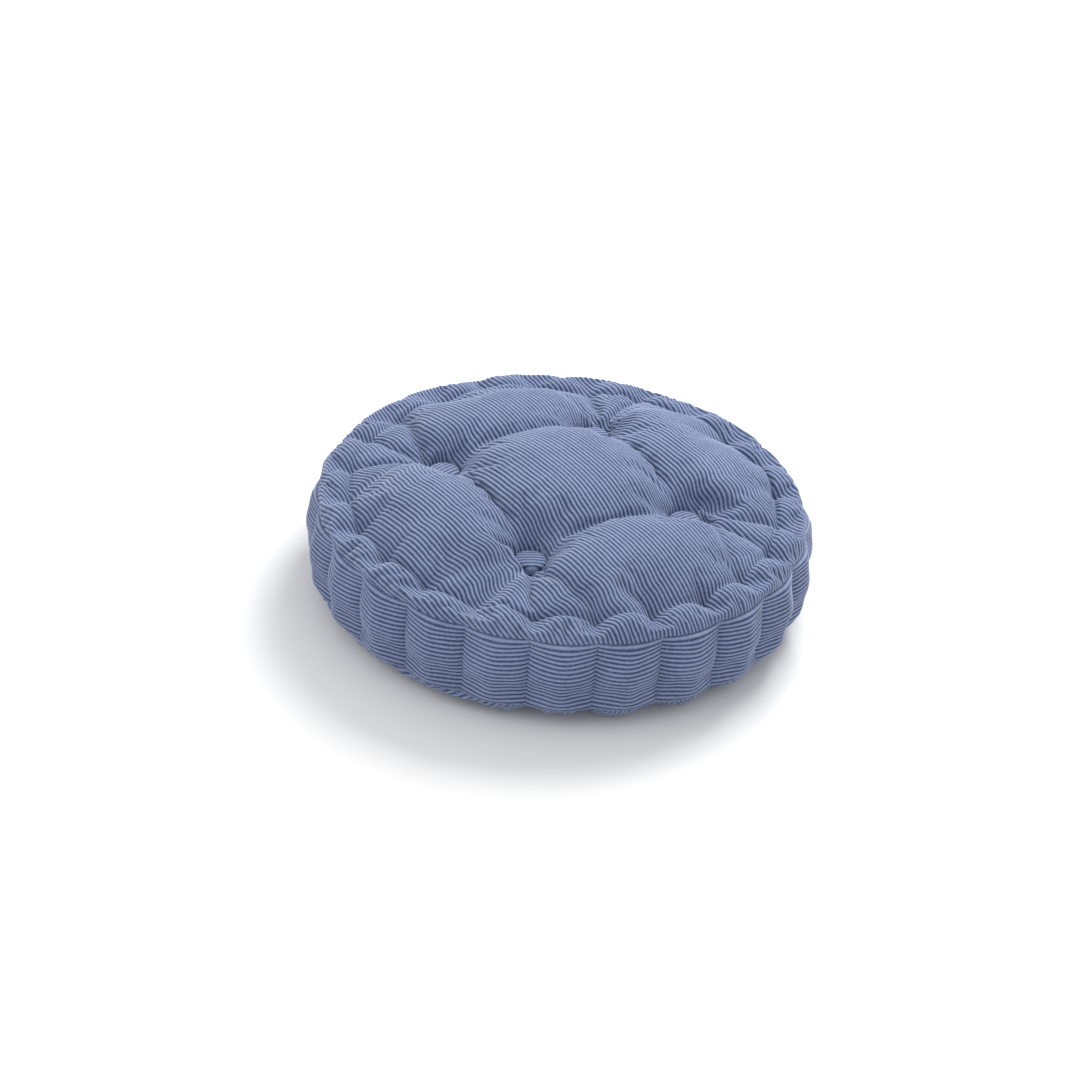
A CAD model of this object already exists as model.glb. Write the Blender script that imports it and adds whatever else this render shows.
import math

import bmesh
import bpy
import numpy as np
from mathutils import Matrix, Vector


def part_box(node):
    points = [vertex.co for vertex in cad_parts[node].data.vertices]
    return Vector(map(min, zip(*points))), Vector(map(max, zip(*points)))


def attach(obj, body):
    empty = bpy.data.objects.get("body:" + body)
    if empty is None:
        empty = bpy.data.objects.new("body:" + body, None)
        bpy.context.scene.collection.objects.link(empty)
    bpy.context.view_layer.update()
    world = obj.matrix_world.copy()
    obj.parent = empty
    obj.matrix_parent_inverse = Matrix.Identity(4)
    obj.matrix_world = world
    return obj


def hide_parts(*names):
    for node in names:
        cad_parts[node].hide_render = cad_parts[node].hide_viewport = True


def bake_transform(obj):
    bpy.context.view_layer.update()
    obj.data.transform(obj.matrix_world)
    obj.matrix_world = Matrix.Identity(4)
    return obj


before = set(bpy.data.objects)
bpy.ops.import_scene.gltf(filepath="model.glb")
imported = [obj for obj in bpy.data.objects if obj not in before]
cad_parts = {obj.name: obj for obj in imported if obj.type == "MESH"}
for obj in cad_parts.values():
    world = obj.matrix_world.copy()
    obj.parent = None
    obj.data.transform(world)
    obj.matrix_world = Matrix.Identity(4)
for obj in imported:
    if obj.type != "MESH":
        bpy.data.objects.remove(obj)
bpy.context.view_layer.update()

# --- The stuffed cover ----------------------------------------------------------------------------
# Two round panels and a side band of wide-wale corduroy, sewn into a drum and stuffed tight with
# polyester fibre. Four buttons on each face are drawn together through the filling, and a row of
# thread ties along each edge pulls face and band into a rolled, scalloped rim.

TIES = 24
FIRST_TIE = math.radians(7.5)
RINGS = 48
BAND_ROWS = 13
AROUND = 6 * RINGS

band_low, band_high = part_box("side_band")
button_low, button_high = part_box("top_button_3_cover")
seam_low = band_low.z
seam_high = band_high.z
rim = band_high.x - 0.0045
button_off = (button_low.x + button_high.x) / 2
button_radius = (button_high.x - button_low.x) / 2
top_seat = button_low.z
bottom_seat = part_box("bottom_button_3_cover")[1].z
button_round = math.hypot(button_off, button_off)
cloth_under = 0.0012  # the cloth's middle lies this far under a button's seat
gutter = 0.191  # radius of the row of ties in the top face
bottom_gutter = gutter + 0.006
tie_drop = 0.006  # from a seam to the row of ties in the band
pull = np.random.default_rng(11).uniform(0.45, 1.4, TIES)


def tie_wave(angle):
    """0 at each tie of the rim and 1 half-way between two ties."""
    return np.abs(np.sin((angle - FIRST_TIE) * TIES / 2))


def tie_pull(angle):
    """How hard the thread near an angle is drawn: every tie is a little tighter or looser."""
    place = (angle - FIRST_TIE) / (2 * math.pi) * TIES
    whole = np.floor(place).astype(int)
    part = place - whole
    part = part * part * (3 - 2 * part)
    return pull[whole % TIES] * (1 - part) + pull[(whole + 1) % TIES] * part


def to_segment(x, y, start, end):
    """Distance in plan from points to a straight segment."""
    dx, dy = end[0] - start[0], end[1] - start[1]
    along = ((x - start[0]) * dx + (y - start[1]) * dy) / (dx * dx + dy * dy)
    along = np.clip(along, 0, 1)
    return np.hypot(x - start[0] - along * dx, y - start[1] - along * dy)


def stuffed_face(x, y, crest, outer_crest, seat, side_dip, valley_height, roll, floor, rim_height,
                 pleats):
    """Height of a face as it is cut and gathered: five domes, a gutter round them and a rolled rim.

    The middle dome rises to crest and the others to outer_crest. Between two buttons the domes are
    side_dip lower, and outwards from a button a valley goes down to valley_height. The gutter lies
    at floor, the roll outside it rises to roll, and the face ends at the seam at rim_height.
    """
    radius, angle = np.hypot(x, y), np.arctan2(y, x)
    dent = (1 - tie_wave(angle) ** 0.7) * tie_pull(angle)
    gutter_height = floor - 0.007 * dent
    roll_height = roll - 0.014 * dent
    crown = crest - (crest - outer_crest) * (radius / 0.145) ** 2
    dip = np.zeros_like(x)
    corners = [(-button_off, -button_off), (button_off, -button_off),
               (button_off, button_off), (-button_off, button_off)]
    for number, corner in enumerate(corners):
        neighbour = corners[(number + 1) % 4]
        side = to_segment(x, y, corner, neighbour)
        dip += (side_dip * np.exp(-(side / 0.024) ** 1.6)) ** 4
        way = np.array(corner) / button_round
        beyond = x * way[0] + y * way[1] - button_round
        beside = np.abs(x * way[1] - y * way[0])
        reach = 0.020 + 0.48 * np.maximum(beyond, 0)
        valley = np.exp(-(beside / reach) ** 3 - (np.minimum(beyond, 0) / 0.016) ** 2)
        dip += (np.maximum(crown - valley_height, 0) * valley) ** 4
        away = np.maximum(np.hypot(x - corner[0], y - corner[1]) - 0.013, 0)
        dip += ((crown - seat) * np.exp(-(away / 0.0145) ** 1.25)) ** 4
    domes = crown - dip ** 0.25
    for corner in corners:
        middle = math.atan2(corner[1], corner[0])
        for turn, depth in ((-22.5, 0.003), (-7.5, 0.0045), (7.5, 0.0045), (22.5, 0.003)):
            toward = middle + math.radians(turn)
            start = (corner[0] * 1.14, corner[1] * 1.14)
            end = (gutter * math.cos(toward), gutter * math.sin(toward))
            domes -= depth * pleats * np.exp(-(to_segment(x, y, start, end) / 0.0065) ** 2)
    fall = np.clip((radius - 0.140) / (gutter - 0.140), 0, 1)
    wall = gutter_height + (crest - gutter_height) * np.sqrt(1 - fall**2)
    soft = 0.004
    inner = -soft * np.log(np.exp(-(domes - floor) / soft) + np.exp(-(wall - floor) / soft)) + floor
    across = np.clip((radius - gutter) / (rim - gutter), 0, 1)
    rolled = gutter_height + (rim_height - gutter_height) * across
    rolled += (roll_height - gutter_height) * 1.6 * np.sqrt(across * (1 - across))
    return np.where(radius < gutter, inner, rolled)


def ring_of(count, radius, height):
    """Points at equal steps round a circle."""
    turn = np.arange(count) * 2 * math.pi / count
    return np.stack([radius * np.cos(turn), radius * np.sin(turn), np.full(count, height)], axis=1)


def disc_faces(rings, upwards):
    """Triangles between rings of 1, 6, 12, 18 ... points."""
    faces = []
    for step in range(1, len(rings)):
        inner, outer = rings[step - 1], rings[step]
        for sixth in range(6):
            for place in range(step):
                first = outer[(sixth * step + place) % len(outer)]
                second = outer[(sixth * step + place + 1) % len(outer)]
                near = inner[(sixth * (step - 1) + place) % len(inner)]
                faces.append((first, second, near))
                if place < step - 1:
                    far = inner[(sixth * (step - 1) + place + 1) % len(inner)]
                    faces.append((near, second, far))
    return faces if upwards else [face[::-1] for face in faces]


points, panels = [], {}
count = 0
for name, height in (("top", seam_high), ("bottom", seam_low)):
    panels[name] = []
    for step in range(RINGS):
        points.append(ring_of(max(6 * step, 1), rim * step / RINGS, height))
        panels[name].append(np.arange(count, count + len(points[-1])))
        count += len(points[-1])
band_rings = []
for row in range(BAND_ROWS + 1):
    points.append(ring_of(AROUND, rim, seam_low + (seam_high - seam_low) * row / BAND_ROWS))
    band_rings.append(np.arange(count, count + AROUND))
    count += AROUND
panels["top"].append(band_rings[-1])
panels["bottom"].append(band_rings[0])
flat = np.concatenate(points)
drum_faces = disc_faces(panels["top"], True) + disc_faces(panels["bottom"], False)
for row in range(BAND_ROWS):
    for place in range(AROUND):
        after = (place + 1) % AROUND
        a, b = band_rings[row][place], band_rings[row][after]
        c, d = band_rings[row + 1][after], band_rings[row + 1][place]
        drum_faces += [(a, b, c), (a, c, d)] if (row + place) % 2 else [(a, b, d), (b, c, d)]

is_top = np.zeros(count, bool)
is_top[np.concatenate(panels["top"][:-1])] = True
is_bottom = np.zeros(count, bool)
is_bottom[np.concatenate(panels["bottom"][:-1])] = True
is_band = ~is_top & ~is_bottom
angles = np.arctan2(flat[:, 1], flat[:, 0])

# The shape that the cloth is cut and gathered to: its own lengths are measured on this.
cut = flat.copy()
cut[is_top, 2] = stuffed_face(flat[is_top, 0], flat[is_top, 1], crest=0.132, outer_crest=0.1155,
                              seat=top_seat, side_dip=0.018, valley_height=0.098, roll=0.106,
                              floor=0.092, rim_height=seam_high, pleats=1)
under = stuffed_face(flat[is_bottom, 0], flat[is_bottom, 1], crest=0.110, outer_crest=0.108,
                     seat=0.088, side_dip=0.006, valley_height=0.102, roll=0.100,
                     floor=0.093, rim_height=seam_high, pleats=0.3)
cut[is_bottom, 2] = seam_low + seam_high - under
up_band = (flat[is_band, 2] - seam_low) / (seam_high - seam_low)
bulge = 0.011 * tie_wave(angles[is_band]) ** 0.8 * np.sin(math.pi * up_band) ** 0.6
cut[is_band, :2] *= (1 + bulge / rim)[:, None]

# Where the thread holds it: the button seats, the two seams and the two ends of every tie.
held = cut.copy()
holds = np.zeros(count, bool)
for side_x in (-1, 1):
    for side_y in (-1, 1):
        away = np.hypot(flat[:, 0] - side_x * button_off, flat[:, 1] - side_y * button_off)
        for face, seat in ((is_top, top_seat - cloth_under),
                           (is_bottom, bottom_seat + cloth_under)):
            under_button = face & (away < 0.0125)
            held[under_button, 2] = seat
            holds |= under_button
for ring, height in ((band_rings[0], seam_low), (band_rings[-1], seam_high)):
    radius = rim - 0.004 + 0.0045 * tie_wave(angles[ring]) ** 0.6
    held[ring] = np.stack([radius * np.cos(angles[ring]), radius * np.sin(angles[ring]),
                           np.full(AROUND, height)], axis=1)
    holds[ring] = True


def hold_nearest(face, radius, angle, height, drawn_radius, drawn_height):
    """Holds the point of the cloth nearest to a place, drawn to another radius and height."""
    way = np.array([math.cos(angle), math.sin(angle), 0])
    place = way * radius + np.array([0, 0, height])
    members = np.flatnonzero(face)
    nearest = members[np.argmin(((flat[members] - place) ** 2).sum(axis=1))]
    held[nearest] = way * drawn_radius + np.array([0, 0, drawn_height])
    holds[nearest] = True


tie_angles = FIRST_TIE + np.arange(TIES) * 2 * math.pi / TIES
drawn_in, drawn_drop = rim - 0.006, 0.0055
for angle in tie_angles:
    hold_nearest(is_top, gutter, angle, seam_high, gutter, 0.0860)
    hold_nearest(is_band, rim, angle, seam_high - tie_drop, drawn_in, seam_high - drawn_drop)
    hold_nearest(is_bottom, bottom_gutter, angle, seam_low, bottom_gutter, 0.010)
    hold_nearest(is_band, rim, angle, seam_low + tie_drop, drawn_in, seam_low + drawn_drop)


def stuff(frames, drawn_by):
    """Simulates the cover: the threads draw tight at first while the filling pushes out."""
    mesh = bpy.data.meshes.new("stuffing_drum")
    mesh.from_pydata(flat.tolist(), [], drum_faces)
    drum = bpy.data.objects.new("stuffing_drum", mesh)
    bpy.context.collection.objects.link(drum)
    drum.shape_key_add(name="flat")
    for name, shape in (("cut", cut), ("loose", cut), ("drawn", held)):
        key = drum.shape_key_add(name=name)
        key.data.foreach_set("co", shape.ravel())
    keys = mesh.shape_keys.key_blocks
    for frame_number, loose in ((1, 1.0), (drawn_by, 0.0)):
        keys["loose"].value = loose
        keys["drawn"].value = 1 - loose
        keys["loose"].keyframe_insert("value", frame=frame_number)
        keys["drawn"].keyframe_insert("value", frame=frame_number)
    for name, members in (("held", holds), ("faces", is_top | is_bottom)):
        drum.vertex_groups.new(name=name).add(np.flatnonzero(members).tolist(), 1.0, "REPLACE")
    cloth = drum.modifiers.new("Cloth", "CLOTH")
    settings = cloth.settings
    settings.quality = 8
    settings.mass = 0.3
    settings.tension_stiffness = settings.compression_stiffness = 60
    settings.shear_stiffness = 18
    settings.bending_stiffness = 1.5
    settings.tension_damping = settings.compression_damping = settings.shear_damping = 20
    settings.bending_damping = 0.5
    settings.air_damping = 2
    settings.vertex_group_mass = "held"
    settings.pin_stiffness = 1
    settings.rest_shape_key = keys["cut"]
    settings.vertex_group_shrink = "faces"
    settings.shrink_min = -0.02
    settings.shrink_max = -0.06
    settings.use_pressure = True
    settings.uniform_pressure_force = 150
    settings.effector_weights.gravity = 0
    cloth.collision_settings.use_collision = False
    cloth.point_cache.frame_start = 1
    cloth.point_cache.frame_end = frames
    scene = bpy.context.scene
    scene.frame_start, scene.frame_end = 1, frames
    for number in range(1, frames + 1):
        scene.frame_set(number)
    shaped = drum.evaluated_get(bpy.context.evaluated_depsgraph_get())
    places = np.empty(3 * count)
    shaped.data.vertices.foreach_get("co", places)
    scene.frame_set(1)
    bpy.data.objects.remove(drum)
    bpy.data.meshes.remove(mesh)
    return places.reshape(-1, 3)


cover = stuff(30, 12)

# Over the band the cloth is stiff enough along its cords to even out the finest puckers.
wall = cover[np.array(band_rings)]
for _ in range(2):
    wall = (np.roll(wall, 1, axis=1) + 2 * wall + np.roll(wall, -1, axis=1)) / 4
    wall[1:-1] = (wall[:-2] + 2 * wall[1:-1] + wall[2:]) / 4
cover[np.array(band_rings)] = wall

# It lies on a flat seat, so nothing hangs below that: the under side is pressed flat there.
lowest = 0.0016
depth = cover[:, 2] - lowest
press = 0.0015
cover[:, 2] = lowest + press * np.logaddexp(0, depth / press)

# --- Corduroy -------------------------------------------------------------------------------------
# Blue cotton corduroy with wide, rounded cords. The cords run one way across a panel and round the
# band, and stay equally far apart on the stuffed shape, so they bend where the cloth is drawn in.

CORD = 0.0040
CORD_HEIGHT = 0.0010
STEPS_PER_CORD = 6
CORD_TURN = math.radians(6.5)


def turned(x, y):
    """Places on a panel, from places measured across and along its cords."""
    return (x * math.cos(CORD_TURN) - y * math.sin(CORD_TURN),
            x * math.sin(CORD_TURN) + y * math.cos(CORD_TURN))


def catmull(before, start, end, after, t):
    """Smooth curve from start to end, with the neighbours on each side."""
    t = t[..., None]
    return 0.5 * (2 * start + (end - before) * t + (2 * before - 5 * start + 4 * end - after) * t**2
                  + (3 * start - before - 3 * end + after) * t**3)


def around_ring(ring, place):
    """Points on a closed ring at fractional places."""
    whole = np.floor(place).astype(int)
    size = len(ring)
    near = [ring[(whole + step) % size] for step in (-1, 0, 1, 2)]
    return catmull(*near, place - whole)


def polar_sheet(name):
    """A panel's simulated points as rings that all have the same number of points."""
    rows = []
    for step, ring in enumerate(panels[name]):
        place = np.arange(AROUND) * step / RINGS
        rows.append(around_ring(cover[ring], place))
    return np.array(rows)


def on_panel(sheet, x, y):
    """The stuffed place of each flat place (x, y) of a panel."""
    ring = np.hypot(x, y) / rim * RINGS
    turn = np.arctan2(y, x) / (2 * math.pi) * AROUND
    inner = np.clip(np.floor(ring).astype(int), 0, RINGS - 1)
    whole = np.floor(turn).astype(int)
    rows = []
    for step in (-1, 0, 1, 2):
        row = inner + step
        flip = np.where(row < 0, AROUND // 2, 0)
        clipped = np.clip(np.abs(row), 0, RINGS)
        near = [sheet[clipped, (whole + flip + offset) % AROUND] for offset in (-1, 0, 1, 2)]
        places = catmull(*near, turn - whole)
        over = (row > RINGS)[..., None]
        near = [sheet[RINGS - 1, (whole + offset) % AROUND] for offset in (-1, 0, 1, 2)]
        places = np.where(over, 2 * places - catmull(*near, turn - whole), places)
        rows.append(places)
    return catmull(*rows, ring - inner)


def smooth_rows(table, passes):
    """Evens out a table from row to row, its first and last row left as they are."""
    for _ in range(passes):
        table[1:-1] = (table[:-2] + 2 * table[1:-1] + table[2:]) / 4
    return table


def cord_lines(sheet, across, along):
    """Flat places of a grid whose lines follow the cords, evenly spaced over the stuffed shape."""
    rows = np.linspace(-rim, rim, 241)
    places = np.linspace(-rim, rim, 801)
    grid_x, grid_y = np.meshgrid(places, rows)
    radius = np.hypot(grid_x, grid_y)
    inside = radius < rim
    squeeze = np.where(inside, 1, rim / np.maximum(radius, 1e-9))
    shaped = on_panel(sheet, *turned(grid_x * squeeze, grid_y * squeeze))
    step = np.diff(shaped, axis=1)
    length = np.hypot(step[..., 0] * math.cos(CORD_TURN) + step[..., 1] * math.sin(CORD_TURN),
                      step[..., 2])
    flat_step = np.diff(grid_x, axis=1)
    length = np.where(inside[:, 1:] & inside[:, :-1], length, flat_step)
    travelled = np.concatenate([np.zeros((len(rows), 1)), np.cumsum(length, axis=1)], axis=1)
    middle = len(places) // 2
    travelled -= travelled[:, middle:middle + 1]
    travelled = smooth_rows(travelled, 6)
    half_width = np.sqrt(np.maximum(rim**2 - rows**2, 1e-8))
    ends = {}
    for sign in (-1, 1):
        at_edge = np.array([abs(np.interp(sign * half_width[row], places, travelled[row]))
                            for row in range(len(rows))])
        ends[sign] = at_edge[len(rows) // 2]
        squeeze = ends[sign] * half_width / rim / at_edge
        side = places * sign > 0
        travelled[:, side] *= squeeze[:, None]
    lines = np.linspace(-ends[-1], ends[1], across + 1)
    table = np.array([np.interp(lines, travelled[row], places) for row in range(len(rows))])

    def x_at(line_index, y):
        height = (y + rim) / (2 * rim) * (len(rows) - 1)
        row = np.clip(np.floor(height).astype(int), 0, len(rows) - 2)
        part = height - row
        return table[row, line_index] * (1 - part) + table[row + 1, line_index] * part

    index = np.arange(across + 1)
    ends = []
    for sign in (-1, 1):
        near, far = np.zeros(across + 1), np.full(across + 1, rim)
        for _ in range(40):
            half = (near + far) / 2
            within = np.hypot(x_at(index, sign * half), half) < rim
            near, far = np.where(within, half, near), np.where(within, far, half)
        ends.append(sign * near)
    share = np.linspace(0, 1, along + 1)
    y = ends[0][:, None] * (1 - share) + ends[1][:, None] * share
    x = x_at(np.repeat(index[:, None], along + 1, axis=1), y)
    too_far = np.maximum(np.hypot(x, y) / rim, 1)
    return x / too_far, y / too_far, lines


def cord_shape(across):
    """Share of the pile's height at a distance across the cords: a round top, a narrow valley."""
    return np.abs(np.cos(across * math.pi / CORD)) ** 0.9


def grid_mesh(name, places, across, along, closed, flip):
    """A mesh object over a grid of points, with the cloth's own distances as its UV map."""
    rows, columns = places.shape[:2]
    mesh = bpy.data.meshes.new(name)
    number = np.arange(rows * columns).reshape(rows, columns)
    wrap = np.concatenate([number, number[:1]]) if closed else number
    quads = np.stack([wrap[:-1, :-1], wrap[1:, :-1], wrap[1:, 1:], wrap[:-1, 1:]], axis=-1)
    quads = quads.reshape(-1, 4)
    if flip:
        quads = quads[:, ::-1]
    mesh.from_pydata(places.reshape(-1, 3).tolist(), [], quads.tolist())
    layer = mesh.uv_layers.new(name="cloth")
    reach = np.stack([across, along], axis=-1)
    wrapped = np.concatenate([reach, reach[:1]]) if closed else reach
    if closed:
        wrapped[-1, :, 1] += 2 * math.pi * rim
    corners = [wrapped[:-1, :-1], wrapped[1:, :-1], wrapped[1:, 1:], wrapped[:-1, 1:]]
    corners = np.stack(corners, axis=2).reshape(-1, 4, 2)
    if flip:
        corners = corners[:, ::-1]
    layer.data.foreach_set("uv", corners.ravel().astype(np.float32))
    mesh.polygons.foreach_set("use_smooth", np.ones(len(quads), bool))
    mesh.update()
    piece = bpy.data.objects.new(name, mesh)
    bpy.context.collection.objects.link(piece)
    return piece


def raise_cords(piece, heights):
    """Moves each point of a piece out along its normal."""
    mesh = piece.data
    size = len(mesh.vertices)
    places, normals = np.empty(3 * size), np.empty(3 * size)
    mesh.vertices.foreach_get("co", places)
    mesh.vertex_normals.foreach_get("vector", normals)
    places = places.reshape(-1, 3) + normals.reshape(-1, 3) * heights.reshape(-1, 1)
    mesh.vertices.foreach_set("co", places.ravel())
    mesh.update()


def new_material(name):
    """A material, its node tree and its shader."""
    material = bpy.data.materials.new(name)
    material.use_nodes = True
    tree = material.node_tree
    return material, tree, tree.nodes["Principled BSDF"]


def node(tree, kind, **settings):
    """A node with its settings."""
    made = tree.nodes.new(kind)
    for name, value in settings.items():
        setattr(made, name, value)
    return made


def noise(tree, place, scale, detail):
    """A noise over a place, such as a fleck or a brushed mark."""
    made = node(tree, "ShaderNodeTexNoise")
    made.inputs["Scale"].default_value = scale
    made.inputs["Detail"].default_value = detail
    tree.links.new(place, made.inputs["Vector"])
    return made


def bump(tree, shader, height, distance, strength=1):
    """Fine relief on a material."""
    made = node(tree, "ShaderNodeBump")
    made.inputs["Strength"].default_value = strength
    made.inputs["Distance"].default_value = distance
    tree.links.new(height, made.inputs["Height"])
    tree.links.new(made.outputs[0], shader.inputs["Normal"])


def math_node(tree, operation, first, second=None):
    """One step of arithmetic on values that are numbers or other nodes' outputs."""
    made = node(tree, "ShaderNodeMath", operation=operation)
    for socket, value in zip(made.inputs, (first, second)):
        if value is None:
            continue
        if isinstance(value, (int, float)):
            socket.default_value = value
        else:
            tree.links.new(value, socket)
    return made.outputs[0]


def corduroy_material(name):
    """Blue corduroy: pale worn pile on each cord, darker ground between, and a brushed nap."""
    material, tree, shader = new_material(name)
    cloth = node(tree, "ShaderNodeUVMap", uv_map="cloth")
    parts = node(tree, "ShaderNodeSeparateXYZ")
    tree.links.new(cloth.outputs[0], parts.inputs[0])
    wave = math_node(tree, "MULTIPLY", parts.outputs[0], math.pi / CORD)
    crest = math_node(tree, "ABSOLUTE", math_node(tree, "COSINE", wave))
    stretch = node(tree, "ShaderNodeMapping")
    stretch.inputs["Scale"].default_value = (2600, 900, 1)
    tree.links.new(cloth.outputs[0], stretch.inputs[0])
    fibre = noise(tree, stretch.outputs[0], 1, 3)
    place = node(tree, "ShaderNodeTexCoord").outputs["Object"]
    nap = noise(tree, place, 28, 4)
    nap.inputs["Roughness"].default_value = 0.6
    fleck = noise(tree, place, 420, 3)
    worn = math_node(tree, "POWER", crest, 2.0)
    for mark, weight in ((fleck, 0.75), (nap, 0.55)):
        centred = math_node(tree, "SUBTRACT", mark.outputs["Fac"], 0.5)
        worn = math_node(tree, "ADD", worn, math_node(tree, "MULTIPLY", centred, weight))
    ramp = node(tree, "ShaderNodeValToRGB")
    ramp.color_ramp.elements[0].position = 0.05
    ramp.color_ramp.elements[0].color = (0.046, 0.065, 0.132, 1)
    ramp.color_ramp.elements[1].position = 1.0
    ramp.color_ramp.elements[1].color = (0.232, 0.284, 0.438, 1)
    middle = ramp.color_ramp.elements.new(0.5)
    middle.color = (0.134, 0.172, 0.300, 1)
    tree.links.new(worn, ramp.inputs[0])
    tree.links.new(ramp.outputs[0], shader.inputs["Base Color"])
    shader.inputs["Roughness"].default_value = 0.92
    shader.inputs["Specular IOR Level"].default_value = 0.15
    shader.inputs["Sheen Weight"].default_value = 0.5
    shader.inputs["Sheen Roughness"].default_value = 0.45
    shader.inputs["Sheen Tint"].default_value = (0.75, 0.82, 1.0, 1)
    relief = math_node(tree, "ADD", fibre.outputs["Fac"], fleck.outputs["Fac"])
    bump(tree, shader, relief, 0.0004, 0.5)
    return material


corduroy = corduroy_material("corduroy")


def nest_buttons(places, seat, sign):
    """The cloth lies flat under each button and swells up close round its edge."""
    for side_x in (-1, 1):
        for side_y in (-1, 1):
            away = np.hypot(places[..., 0] - side_x * button_off,
                            places[..., 1] - side_y * button_off)
            swell = 0.0020 * np.exp(-((away - button_radius - 0.0035) / 0.0045) ** 2)
            room = seat - cloth_under * sign
            room = room + 5 * np.maximum(away - button_radius - 0.0004, 0) * sign
            height = places[..., 2] + swell * sign
            places[..., 2] = np.where(sign > 0, np.minimum(height, room), np.maximum(height, room))
    return places


def seam_dip(distance):
    """How far the cloth dips in at a seam, for a distance from it."""
    return 0.0022 * np.exp(-(np.maximum(distance, 0) / 0.0022) ** 1.5)


def cord_strength(distance):
    """The cords flatten where the cloth turns into a seam."""
    return np.clip(distance / 0.0025, 0.1, 1)


def cloth_panel(name, sheet_name, across, along, upwards):
    """A round panel of corduroy over one face, its edge turned into the seam."""
    sign = 1 if upwards else -1
    sheet = polar_sheet(sheet_name)
    x, y, lines = cord_lines(sheet, across, along)
    flat_x, flat_y = turned(x, y)
    places = on_panel(sheet, flat_x, flat_y)
    places = nest_buttons(places, top_seat if upwards else bottom_seat, sign)
    radius = np.hypot(x, y)
    inward = -np.stack([flat_x, flat_y, np.zeros_like(x)], axis=-1)
    inward = inward / np.maximum(radius, 1e-6)[..., None]
    places = places + inward * seam_dip(rim - radius)[..., None]
    reach = np.repeat(lines[:, None], along + 1, axis=1)
    piece = grid_mesh(name, places, reach, y, False, not upwards)
    raise_cords(piece, CORD_HEIGHT * cord_shape(reach) * cord_strength(rim - radius))
    piece.data.materials.append(corduroy)

    turn = np.arange(720) * 2 * math.pi / 720
    rings = rim - np.array([0.012, 0.008, 0.005, 0.003, 0.0015, 0.0007, 0])
    edge_x, edge_y = np.cos(turn)[:, None] * rings, np.sin(turn)[:, None] * rings
    edge = on_panel(sheet, edge_x, edge_y)
    way = -np.stack([np.cos(turn), np.sin(turn), np.zeros(720)], axis=1)
    edge += way[:, None] * seam_dip(rim - rings)[None, :, None] + np.array([0, 0, -0.0004 * sign])
    folded = [edge] + [edge[:, -1:] + way[:, None] * depth for depth in (0.002, 0.005, 0.009)]
    edge = np.concatenate(folded, axis=1)
    across_edge = (edge[..., 0] * math.cos(CORD_TURN) + edge[..., 1] * math.sin(CORD_TURN)) * 1.07
    hem = grid_mesh(name + "_hem", edge, across_edge, edge[..., 1], True, upwards)
    hem.data.materials.append(corduroy)
    bpy.ops.object.select_all(action="DESELECT")
    hem.select_set(True)
    piece.select_set(True)
    bpy.context.view_layer.objects.active = piece
    bpy.ops.object.join()
    return piece


cords_across = int(2 * rim * 1.16 / CORD)  # the stuffed face is this much wider than the flat one
top_cloth = cloth_panel("top_corduroy", "top", cords_across * STEPS_PER_CORD, 200, True)
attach(top_cloth, "sitting_face")
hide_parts("top_panel")

bottom_cloth = cloth_panel("bottom_corduroy", "bottom", cords_across * 5, 110, False)
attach(bottom_cloth, "cushion_base")
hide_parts("bottom_panel")

# --- Side band ------------------------------------------------------------------------------------
# One long strip of the same corduroy with its cords running round the cushion, so the ties draw it
# into upright grooves with a small pillow between each two.

JOIN_BEARING = math.radians(60)
columns = TIES * 28
around = np.arange(columns) * AROUND / columns
upright = np.array([around_ring(cover[ring], around) for ring in band_rings])
below, above = 2 * upright[:1] - upright[1:2], 2 * upright[-1:] - upright[-2:-1]
upright = np.concatenate([below, upright, above])


def band_rows(height):
    """Rows of points round the band, at heights counted in simulated rows."""
    whole = np.clip(np.floor(height).astype(int), 0, BAND_ROWS - 1)
    part = np.repeat((height - whole)[:, None], columns, axis=1)
    return catmull(upright[whole], upright[whole + 1], upright[whole + 2], upright[whole + 3], part)


height = np.linspace(0, BAND_ROWS, 201)
climb = np.linalg.norm(np.diff(band_rows(height), axis=0), axis=2).mean(axis=1)
climb = np.concatenate([[0], np.cumsum(climb)])
band_width = climb[-1]
rows = round(band_width / CORD) * STEPS_PER_CORD
height = np.interp(np.linspace(0, band_width, rows + 1), climb, height)
wall_places = band_rows(height).transpose(1, 0, 2)
share = np.linspace(0, 1, rows + 1)
bearing = np.arctan2(wall_places[..., 1], wall_places[..., 0])
off_tie = (bearing - FIRST_TIE + math.pi / TIES) % (2 * math.pi / TIES) - math.pi / TIES
off_tie = np.abs(off_tie) * rim
groove = 0.0034 * np.exp(-(off_tie / 0.0032) ** 1.2) * np.sin(math.pi * share) ** 0.35
off_join = np.abs((bearing - JOIN_BEARING + math.pi) % (2 * math.pi) - math.pi) * rim
groove += 0.0016 * np.exp(-(off_join / 0.0018) ** 2)
wall_places[..., :2] *= 1 - (groove / rim)[..., None]
to_seam = np.minimum(share, 1 - share) * band_width
outward = wall_places * np.array([1, 1, 0])
outward /= np.linalg.norm(outward, axis=-1)[..., None]
wall_places = wall_places - outward * seam_dip(to_seam)[None, :, None]

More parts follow.
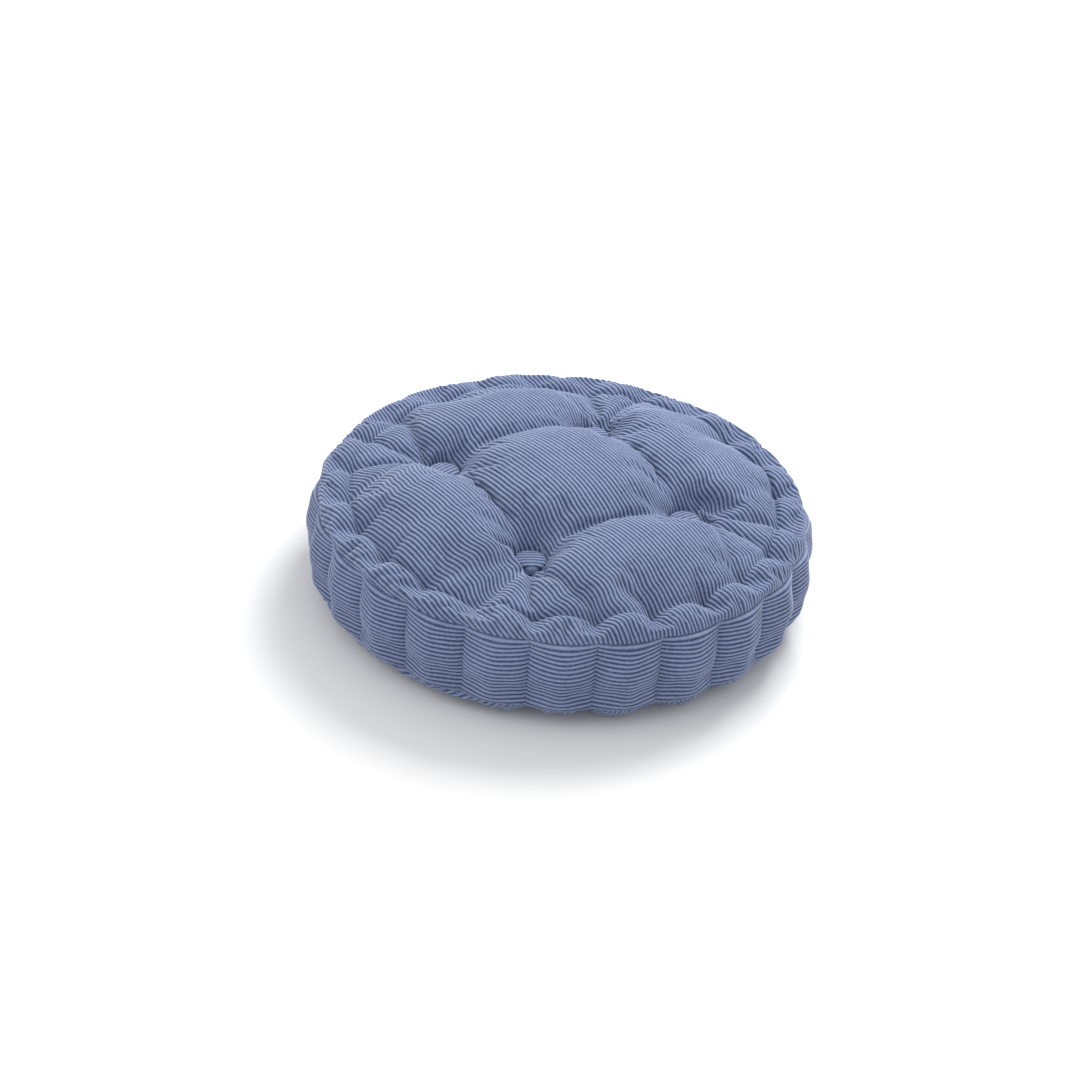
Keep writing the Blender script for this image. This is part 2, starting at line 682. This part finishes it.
# The two edges are turned in behind the seams, to these depths.
turn_in = np.array([0.009, 0.004, 0.0015])
under = [wall_places[:, :1] - outward[:, :1] * depth for depth in turn_in]
over = [wall_places[:, -1:] - outward[:, -1:] * depth for depth in turn_in[::-1]]
band_places = np.concatenate(under + [wall_places] + over, axis=1)
edge_rows = len(turn_in)
to_seam = np.pad(to_seam, edge_rows)
share = np.concatenate([-turn_in / band_width, share, 1 + turn_in[::-1] / band_width])
reach = share * rows / STEPS_PER_CORD * CORD + CORD / 2
reach = np.repeat(reach[None, :], columns, axis=0)
along = np.arange(columns) * 2 * math.pi * rim / columns
along = np.repeat(along[:, None], rows + 1 + 2 * edge_rows, axis=1)
band_cloth = grid_mesh("band_corduroy", band_places, reach, along, True, False)
raise_cords(band_cloth, CORD_HEIGHT * cord_shape(reach) * cord_strength(to_seam)[None, :])
band_cloth.data.materials.append(corduroy)
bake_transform(band_cloth)
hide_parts("side_band")

# --- Filling --------------------------------------------------------------------------------------
# White polyester fibre that fills the cover. It follows the cover a few millimetres inside it.

mesh = bpy.data.meshes.new("fibre_wadding")
mesh.from_pydata(cover.tolist(), [], drum_faces)
mesh.update()
wadding = bpy.data.objects.new("fibre_wadding", mesh)
bpy.context.collection.objects.link(wadding)
raise_cords(wadding, np.full(count, -0.0045))


def two_tones(tree, shader, share, first, second):
    """Colours a material between two tones."""
    made = node(tree, "ShaderNodeMix", data_type="RGBA")
    tree.links.new(share, made.inputs[0])
    made.inputs[6].default_value, made.inputs[7].default_value = first, second
    tree.links.new(made.outputs[2], shader.inputs["Base Color"])


fibre_white, tree, shader = new_material("fibre_white")
shader.inputs["Roughness"].default_value = 0.95
shader.inputs["Sheen Weight"].default_value = 0.3
fluff = noise(tree, node(tree, "ShaderNodeTexCoord").outputs["Object"], 160, 8)
fluff.inputs["Distortion"].default_value = 2.5
two_tones(tree, shader, fluff.outputs["Fac"], (0.62, 0.62, 0.60, 1), (0.88, 0.88, 0.86, 1))
bump(tree, shader, fluff.outputs["Fac"], 0.001)
wadding.data.materials.append(fibre_white)
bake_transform(wadding)
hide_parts("fibre_filling")

# --- Covered buttons ------------------------------------------------------------------------------
# Round steel shells covered with a disc of the same corduroy, its edge gathered and tucked in
# behind. Four on each face, and the twine through each wire loop pulls a top one to a bottom one.

cover_low, cover_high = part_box("top_button_3_cover")
cap_height = cover_high.z - cover_low.z
dome_start = cap_height * 0.9
bpy.ops.object.select_all(action="DESELECT")
bpy.ops.mesh.primitive_cylinder_add(vertices=96, radius=button_radius - 0.0003, depth=dome_start,
                                    location=(0, 0, dome_start / 2))
cap = bpy.context.object
bpy.ops.object.transform_apply(location=True)
bpy.ops.object.mode_set(mode="EDIT")
bpy.ops.mesh.select_all(action="DESELECT")
shape = bmesh.from_edit_mesh(cap.data)
for edge in shape.edges:
    edge.select = all(corner.co.z > cap_height * 0.8 for corner in edge.verts)
bmesh.update_edit_mesh(cap.data)
bpy.ops.mesh.bevel(offset=0.0032, segments=8)


def select_end(way):
    """Selects the cap's round face that looks up (1) or down (-1)."""
    bpy.ops.mesh.select_all(action="DESELECT")
    shape = bmesh.from_edit_mesh(cap.data)
    for face in shape.faces:
        face.select = len(face.verts) > 20 and face.normal.z * way > 0.9
    bmesh.update_edit_mesh(cap.data)


select_end(1)
for rise in (0.0003, 0.0002, 0.00015, 0.0001, 0.00008, 0.00005, 0.00002):
    bpy.ops.mesh.inset(thickness=0.0014, depth=rise)
bpy.ops.mesh.poke()
select_end(-1)
bpy.ops.mesh.bevel(offset=0.0012, segments=3)
select_end(-1)
for _ in range(2):
    bpy.ops.mesh.inset(thickness=0.003, depth=0)
bpy.ops.mesh.delete(type="FACE")
bpy.ops.object.mode_set(mode="OBJECT")
smooth = cap.modifiers.new("Smooth", "SUBSURF")
smooth.levels = 1
bpy.ops.object.modifier_apply(modifier="Smooth")
cords = cap.vertex_groups.new(name="cords")
for vertex in cap.data.vertices:
    x, y, z = vertex.co
    side = abs(math.sin(24 * math.atan2(y, x))) * 0.5 * max(0, 1 - z / (cap_height * 0.5))
    raised = float(cord_shape(np.array(x + CORD / 2))) * (1 - side)
    cords.add([vertex.index], min(max(raised, 0), 1), "REPLACE")
pile = cap.modifiers.new("Pile", "DISPLACE")
pile.vertex_group = "cords"
pile.mid_level = 0
pile.strength = 0.0006
bpy.ops.object.modifier_apply(modifier="Pile")
bpy.ops.object.shade_smooth()
cloth_map = cap.data.uv_layers["UVMap"]
cloth_map.name = "cloth"
for loop in cap.data.loops:
    x, y, z = cap.data.vertices[loop.vertex_index].co
    cloth_map.data[loop.index].uv = (x + CORD / 2, y)
cap.data.materials.append(corduroy)

for number, turn in enumerate((64, 96, 74, 108), 1):
    for face in ("top", "bottom"):
        low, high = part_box(f"{face}_button_{number}_cover")
        seat = low.z if face == "top" else high.z
        place = Matrix.Translation(((low.x + high.x) / 2, (low.y + high.y) / 2, seat))
        if face == "bottom":
            place = place @ Matrix.Rotation(math.pi, 4, "X")
        button = cap.copy()
        button.data = cap.data.copy()
        button.data.transform(place @ Matrix.Rotation(math.radians(turn), 4, "Z"))
        button.name = f"{face}_button_{number}_cap"
        bpy.context.collection.objects.link(button)
        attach(button, f"{face}_button_{number}")
        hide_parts(f"{face}_button_{number}_cover")
bpy.data.objects.remove(cap)

# --- Thread ---------------------------------------------------------------------------------------
# Blue polyester thread: lock stitches down in both edge seams and in the join of the band, and one
# heavier stitch at each end of every edge tie, sunk in its own dimple.

thread_blue, tree, shader = new_material("thread_blue")
ply = noise(tree, node(tree, "ShaderNodeTexCoord").outputs["Object"], 2400, 3).outputs["Fac"]
two_tones(tree, shader, ply, (0.05, 0.07, 0.14, 1), (0.14, 0.18, 0.30, 1))
gloss = math_node(tree, "ADD", math_node(tree, "MULTIPLY", ply, 0.3), 0.5)
tree.links.new(gloss, shader.inputs["Roughness"])
bump(tree, shader, ply, 0.0002, 0.6)


def model_stitch(length, radius):
    """One stitch along X: a round thread that dives into the cloth at both ends."""
    bpy.ops.object.select_all(action="DESELECT")
    bpy.ops.mesh.primitive_cylinder_add(vertices=8, radius=radius, depth=length, location=(0, 0, 0),
                                        rotation=(0, math.pi / 2, 0))
    stitch = bpy.context.object
    bpy.ops.object.transform_apply(location=True, rotation=True)
    bpy.ops.object.mode_set(mode="EDIT")
    for share in (-0.3, 0, 0.3):
        bpy.ops.mesh.select_all(action="SELECT")
        bpy.ops.mesh.bisect(plane_co=(share * length, 0, 0), plane_no=(1, 0, 0))
    for share in (-1, 1):
        bpy.ops.mesh.select_all(action="DESELECT")
        shape = bmesh.from_edit_mesh(stitch.data)
        for vertex in shape.verts:
            vertex.select = vertex.co.x * share > length * 0.4
        shape.select_flush(True)
        bmesh.update_edit_mesh(stitch.data)
        bpy.ops.transform.translate(value=(0, 0, -1.6 * radius))
        bpy.ops.transform.resize(value=(1, 0.6, 0.6))
    bpy.ops.object.mode_set(mode="OBJECT")
    bpy.ops.object.shade_smooth()
    stitch.data.materials.append(thread_blue)
    return stitch


def sew(name, pattern, middles, alongs, outs):
    """Copies a stitch to many places, each along one direction and facing another, as one piece."""
    copies = []
    for middle, along, out in zip(middles, alongs, outs):
        along = Vector(along).normalized()
        side = Vector(out).cross(along).normalized()
        up = along.cross(side)
        turn = Matrix((along, side, up)).transposed().to_4x4()
        copy = pattern.copy()
        copy.data = pattern.data.copy()
        copy.data.transform(Matrix.Translation(Vector(middle)) @ turn)
        bpy.context.collection.objects.link(copy)
        copies.append(copy)
    bpy.data.objects.remove(pattern)
    bpy.ops.object.select_all(action="DESELECT")
    for copy in copies:
        copy.select_set(True)
    bpy.context.view_layer.objects.active = copies[0]
    bpy.ops.object.join()
    piece = bpy.context.object
    piece.name = name
    return piece


def along_seam(ring, count, inward, lift):
    """Middles, directions and outward directions of stitches along a seam, in its valley."""
    size = np.arange(count) * AROUND / count
    middle = around_ring(cover[ring], size)
    ahead = around_ring(cover[ring], size + 0.3) - around_ring(cover[ring], size - 0.3)
    out = middle * np.array([1, 1, 0])
    out /= np.linalg.norm(out, axis=1)[:, None]
    return middle - out * inward + np.array([0, 0, lift]), ahead, out


for edge, ring, lift, body in (("top", band_rings[-1], 0.0002, "sitting_face"),
                               ("bottom", band_rings[0], -0.0002, "cushion_base")):
    middles, alongs, outs = along_seam(ring, 432, 0.0021, lift)
    seam = sew(f"{edge}_seam_stitches", model_stitch(0.0028, 0.0003), middles, alongs, outs)
    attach(seam, body)
    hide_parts(f"{edge}_seam_thread")


def tie_spot(face, radius, angle, height):
    """The simulated point of the cloth nearest to a place before it was drawn in."""
    spot = np.array([radius * math.cos(angle), radius * math.sin(angle), height])
    members = np.flatnonzero(face)
    return cover[members[np.argmin(((flat[members] - spot) ** 2).sum(axis=1))]]


for edge, face_mask, inset, seam_height, sign, body in (
        ("top", is_top, gutter, seam_high, 1, "sitting_face"),
        ("bottom", is_bottom, bottom_gutter, seam_low, -1, "cushion_base")):
    middles, alongs, outs = [], [], []
    for angle in tie_angles:
        out = np.array([math.cos(angle), math.sin(angle), 0])
        in_face = tie_spot(face_mask, inset, angle, seam_height)
        in_band = tie_spot(is_band, rim, angle, seam_height - sign * tie_drop)
        middles += [in_face + np.array([0, 0, 0.0007 * sign]), in_band - out * 0.0012]
        alongs += [out, np.array([0, 0, 1])]
        outs += [np.array([0, 0, sign]), out]
    ties = sew(f"{edge}_tie_stitches", model_stitch(0.0032, 0.00045), middles, alongs, outs)
    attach(ties, body)
    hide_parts(f"{edge}_edge_ties")

join_column = int(round(JOIN_BEARING / (2 * math.pi) * columns))
middles = wall_places[join_column, 4:-4:4]
out = np.array([math.cos(JOIN_BEARING), math.sin(JOIN_BEARING), 0])
join = sew("band_join_stitches", model_stitch(0.0026, 0.0003), middles + out * 0.0002,
           [np.array([0, 0, 1])] * len(middles), [out] * len(middles))
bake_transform(join)
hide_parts("band_join_thread")

# --- Button shells, backs, wire loops and twine ---------------------------------------------------
# Hidden inside: pressed steel shells and backs, a steel wire loop below each button, and a doubled
# waxed twine between each top and bottom button.

steel, tree, shader = new_material("pressed_steel")
shader.inputs["Metallic"].default_value = 1
brushed = noise(tree, node(tree, "ShaderNodeTexCoord").outputs["Object"], 900, 4).outputs["Fac"]
two_tones(tree, shader, brushed, (0.42, 0.42, 0.43, 1), (0.62, 0.62, 0.63, 1))
gloss = math_node(tree, "ADD", math_node(tree, "MULTIPLY", brushed, 0.25), 0.25)
tree.links.new(gloss, shader.inputs["Roughness"])

twine_wax, tree, shader = new_material("waxed_twine")
shader.inputs["Roughness"].default_value = 0.55
lay = node(tree, "ShaderNodeTexWave", wave_type="BANDS", bands_direction="DIAGONAL")
lay.inputs["Scale"].default_value = 260
lay.inputs["Distortion"].default_value = 1.5
tree.links.new(node(tree, "ShaderNodeTexCoord").outputs["Object"], lay.inputs["Vector"])
two_tones(tree, shader, lay.outputs["Fac"], (0.36, 0.30, 0.20, 1), (0.62, 0.55, 0.42, 1))
bump(tree, shader, lay.outputs["Fac"], 0.0002)

for name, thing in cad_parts.items():
    if name.endswith(("_shell", "_back", "_loop")):
        thing.data.materials.clear()
        thing.data.materials.append(steel)
    if name.startswith("tufting_twine"):
        # The twine goes slack as the cushion is sat on, so a copy of it shortens with the filling.
        twine = thing.copy()
        twine.data = thing.data.copy()
        twine.parent = None
        twine.matrix_world = thing.matrix_world
        twine.data.transform(twine.matrix_world)
        twine.matrix_world = Matrix()
        twine.name = f"{name}_pair"
        bpy.context.collection.objects.link(twine)
        twine.data.materials.clear()
        twine.data.materials.append(twine_wax)
        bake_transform(twine)
        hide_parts(name)

# --- Floor, light and camera ----------------------------------------------------------------------
# A plain pale floor, a large soft light from behind on the right with a weak one from the front
# left, and a three-quarter view from above.

bpy.ops.object.select_all(action="DESELECT")
bpy.ops.mesh.primitive_plane_add(size=12, location=(0, 0, 0))
floor = bpy.context.object
floor.name = "floor"
floor_paint, tree, shader = new_material("floor_paint")
shader.inputs["Base Color"].default_value = (0.86, 0.86, 0.86, 1)
shader.inputs["Roughness"].default_value = 0.8
floor.data.materials.append(floor_paint)

azimuth, elevation, tilt = math.radians(-32.5), math.radians(33), math.radians(4.8)
right = Vector((math.cos(azimuth), math.sin(azimuth), 0))
away = Vector((-math.sin(azimuth), math.cos(azimuth), 0))
back = Vector((math.sin(azimuth) * math.cos(elevation), -math.cos(azimuth) * math.cos(elevation),
               math.sin(elevation)))


def softbox(name, place, size, watts):
    """A square lamp that looks at the cushion, placed to the right, away and up from it."""
    light = bpy.data.lights.new(name, "AREA")
    light.size = size
    light.energy = watts
    lamp = bpy.data.objects.new(name, light)
    bpy.context.collection.objects.link(lamp)
    lamp.location = right * place[0] + away * place[1] + Vector((0, 0, place[2]))
    lamp.rotation_euler = (Vector((0, 0, 0.06)) - lamp.location).to_track_quat("-Z", "Y").to_euler()


softbox("key_light", (0.6, 1.3, 1.5), 1.0, 42)
softbox("fill_light", (-1.6, -0.8, 1.4), 1.4, 8)
world = bpy.data.worlds.new("studio")
bpy.context.scene.world = world
world.use_nodes = True
world.node_tree.nodes["Background"].inputs["Color"].default_value = (1, 1, 1, 1)
world.node_tree.nodes["Background"].inputs["Strength"].default_value = 0.8

distance, framed_width, film_width = 2.4, 0.963, 36
lens = bpy.data.cameras.new("view")
camera = bpy.data.objects.new("view", lens)
bpy.context.collection.objects.link(camera)
target = Vector((0, 0, 0.066)) - right * 0.0175 - away * 0.014 - back.cross(right) * 0.010
camera.location = target + back * distance
facing = (-back).to_track_quat("-Z", "Y") @ Matrix.Rotation(tilt, 3, "Z").to_quaternion()
camera.rotation_euler = facing.to_euler()
lens.sensor_width = film_width
lens.lens = film_width * distance / framed_width
bpy.context.scene.camera = camera
bpy.context.scene.view_settings.view_transform = "Standard"
